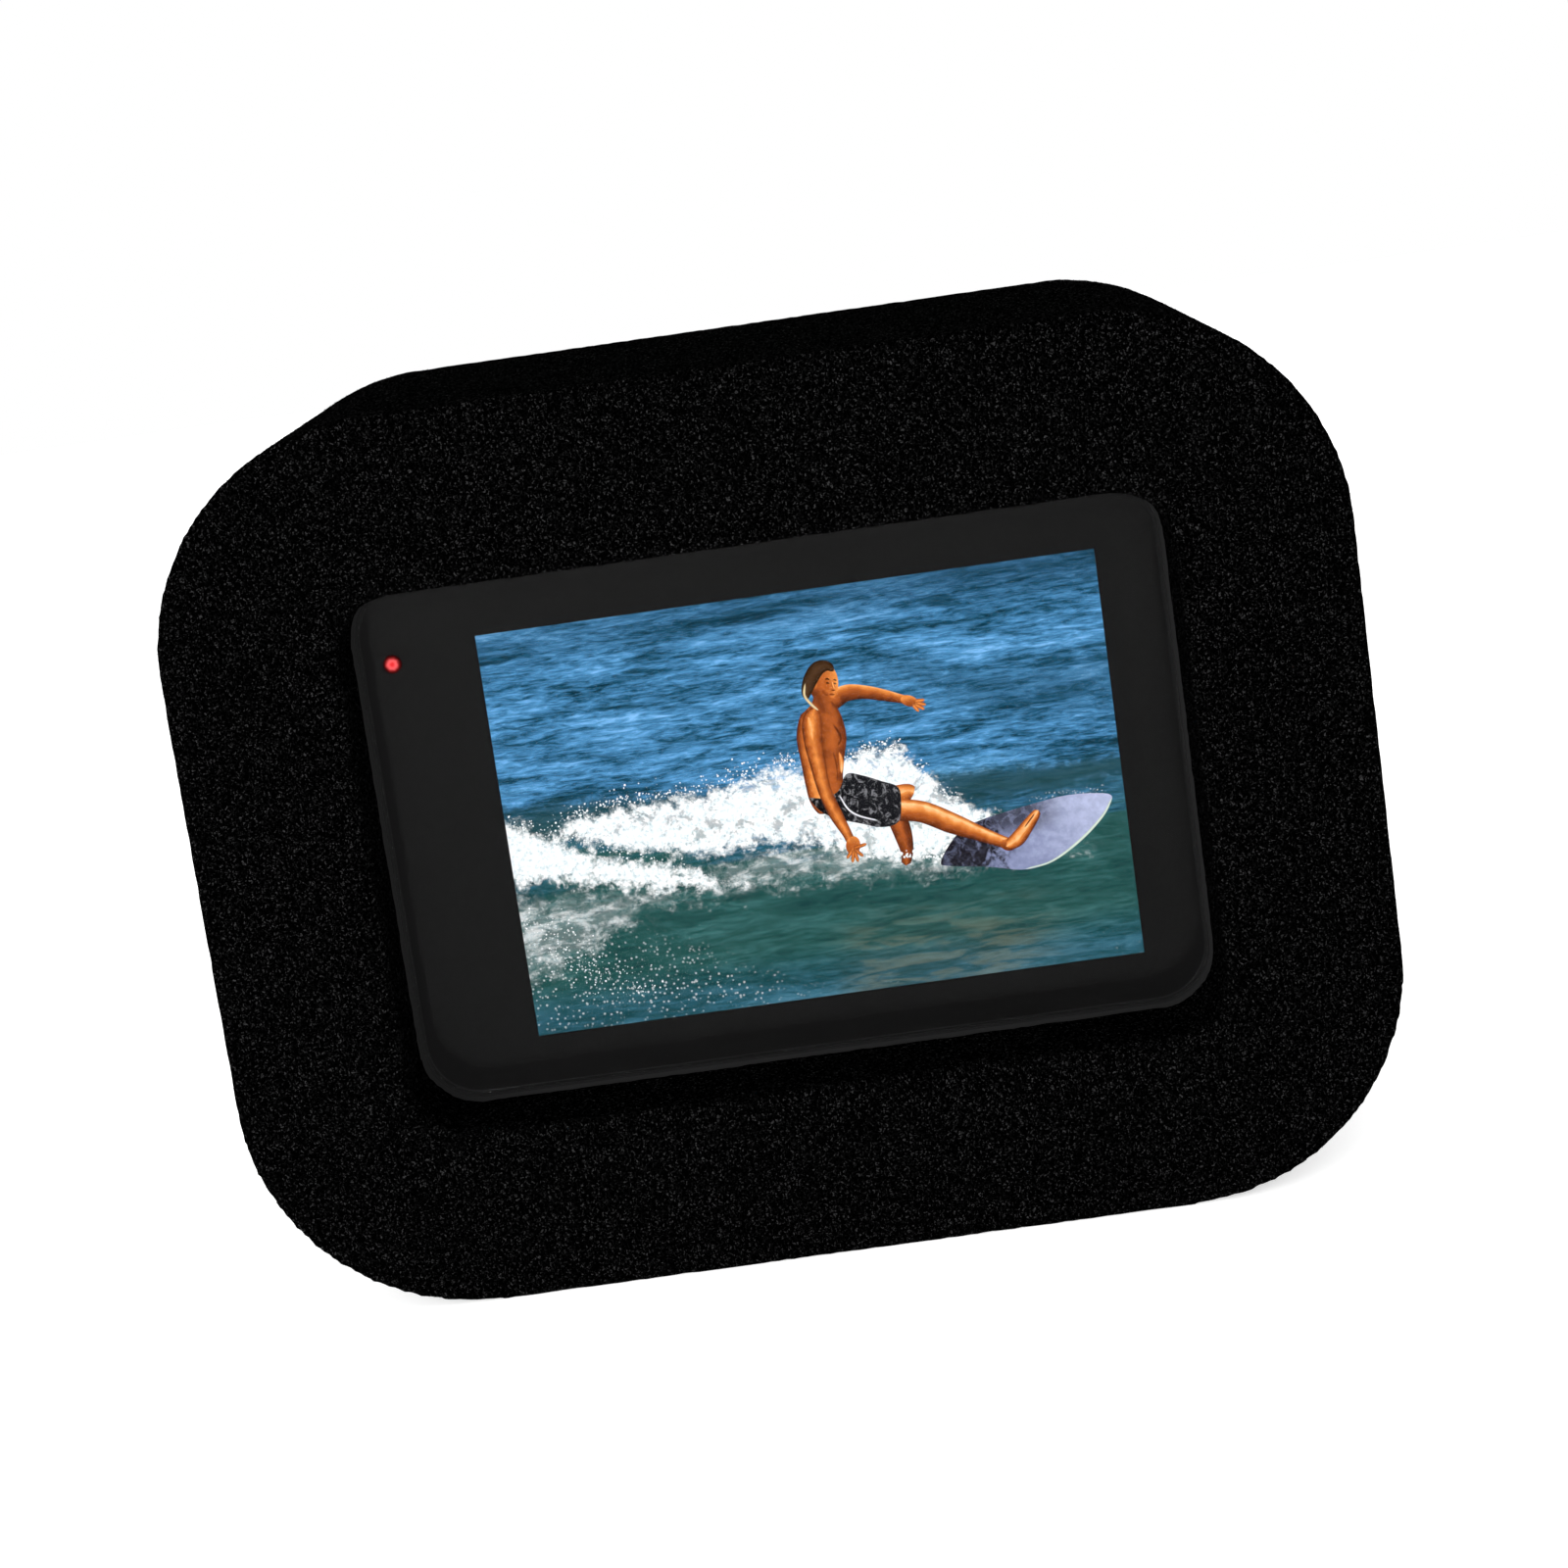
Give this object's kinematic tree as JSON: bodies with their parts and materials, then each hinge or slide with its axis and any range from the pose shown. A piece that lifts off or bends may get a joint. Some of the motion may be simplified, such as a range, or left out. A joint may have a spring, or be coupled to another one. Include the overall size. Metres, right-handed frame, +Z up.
{
  "type": "action camera in foam windscreen",
  "caption": "Pocket action camera in a block of black open-cell foam, with a bare rear touch screen, a status light, a twist-off lens cover, two push buttons and two hinged doors.",
  "frame": {"origin": "middle of the foam block's underside, on the surface that it stands on", "axes": "+Z up, the rear screen faces -Y, the lens faces +Y, +X is to the right seen from behind"},
  "size_m": [0.0784, 0.0416, 0.0601],
  "materials": {
    "foam": "matte",
    "housing": "matte",
    "frame": "satin",
    "button": "satin",
    "cover_glass": "gloss",
    "mask_ink": "satin",
    "screen_picture": "gloss",
    "light_film": "matte",
    "steel": "satin",
    "alloy": "satin",
    "copper": "satin",
    "gold": "polished",
    "seal": "matte",
    "tape": "matte",
    "board": "satin",
    "chip": "matte",
    "ribbon": "satin",
    "inner_plastic": "matte",
    "red_light": "gloss",
    "lens_glass": "gloss",
    "filter_glass": "gloss",
    "sensor": "gloss",
    "window": "gloss",
    "status_screen": "satin",
    "light_pipe": "satin",
    "battery_case": "satin",
    "pull_tab": "satin",
    "mesh": "matte",
    "card": "satin"
  },
  "bodies": {
    "root": {"antenna": "copper", "battery": "battery_case", "battery_contacts": "gold", "battery_door_pin": "steel", "battery_pull_tab": "pull_tab", "battery_tray": "inner_plastic", "board_chips": "chip", "display_cover_glass": "cover_glass", "display_flex": "ribbon", "display_mask": "mask_ink", "foam_windscreen": "foam", "front_housing": "housing", "front_led_lens": "light_pipe", "glass_adhesive": "tape", "heat_spreader": "copper", "housing_screws": "steel", "image_sensor": "sensor", "ir_filter": "filter_glass", "lcd_backlight": "light_film", "lcd_panel": "screen_picture", "lens_barrel": "inner_plastic", "lens_front_element": "lens_glass", "lens_middle_element": "lens_glass", "lens_mount_ring": "inner_plastic", "lens_rear_element": "lens_glass", "lens_trim_ring": "inner_plastic", "main_board": "board", "micro_hdmi_socket": "steel", "microphone_meshes": "mesh", "microphones": "alloy", "microsd_socket": "steel", "mode_switch": "alloy", "port_bay": "inner_plastic", "processor": "chip", "rear_frame": "frame", "rear_led": "red_light", "rear_led_lens": "red_light", "screen_chassis": "steel", "seam_seal": "seal", "sensor_board": "board", "shield_can": "steel", "shutter_button_ring": "button", "shutter_switch": "alloy", "side_door_pin": "steel", "speaker": "alloy", "speaker_mesh": "mesh", "status_display": "status_screen", "status_window": "window", "usb_c_socket": "steel"},
    "shutter_button": {"shutter_button_cap": "button"},
    "mode_button": {"mode_button_cap": "button"},
    "battery_door": {"battery_door": "housing", "battery_door_seal": "seal"},
    "battery_latch": {"battery_door_latch": "button"},
    "side_door": {"side_door": "housing", "side_door_seal": "seal"},
    "lens_cover": {"lens_cover_frame": "housing", "lens_cover_glass": "cover_glass", "lens_cover_seal": "seal"},
    "memory_card": {"microsd_card": "card"}
  },
  "joints": [
    {"name": "shutter_press", "type": "slide", "parent": "root", "child": "shutter_button", "axis": [0, 0, -1], "range_m": [0, 0.0006], "stiffness_N_per_m": 2500, "springref_m": -0.0002},
    {"name": "mode_press", "type": "slide", "parent": "root", "child": "mode_button", "axis": [-1, 0, 0], "range_m": [0, 0.0005], "stiffness_N_per_m": 2500, "springref_m": -0.0002},
    {"name": "battery_door_swing", "type": "hinge", "parent": "root", "child": "battery_door", "pos_m": [0, 0.0093, 0.0088], "axis": [1, 0, 0], "range_deg": [0, 90]},
    {"name": "battery_latch_slide", "type": "slide", "parent": "battery_door", "child": "battery_latch", "axis": [0, -1, 0], "range_m": [0, 0.0014]},
    {"name": "side_door_swing", "type": "hinge", "parent": "root", "child": "side_door", "pos_m": [-0.02995, 0.0076, 0], "axis": [0, 0, -1], "range_deg": [0, 90]},
    {"name": "lens_cover_twist", "type": "hinge", "parent": "root", "child": "lens_cover", "pos_m": [-0.0135, 0, 0.0356], "axis": [0, 1, 0], "range_deg": [0, 45]},
    {"name": "memory_card_push", "type": "slide", "parent": "root", "child": "memory_card", "axis": [0, 0, 1], "range_m": [0, 0.0008], "stiffness_N_per_m": 600, "springref_m": -0.0003}
  ]
}
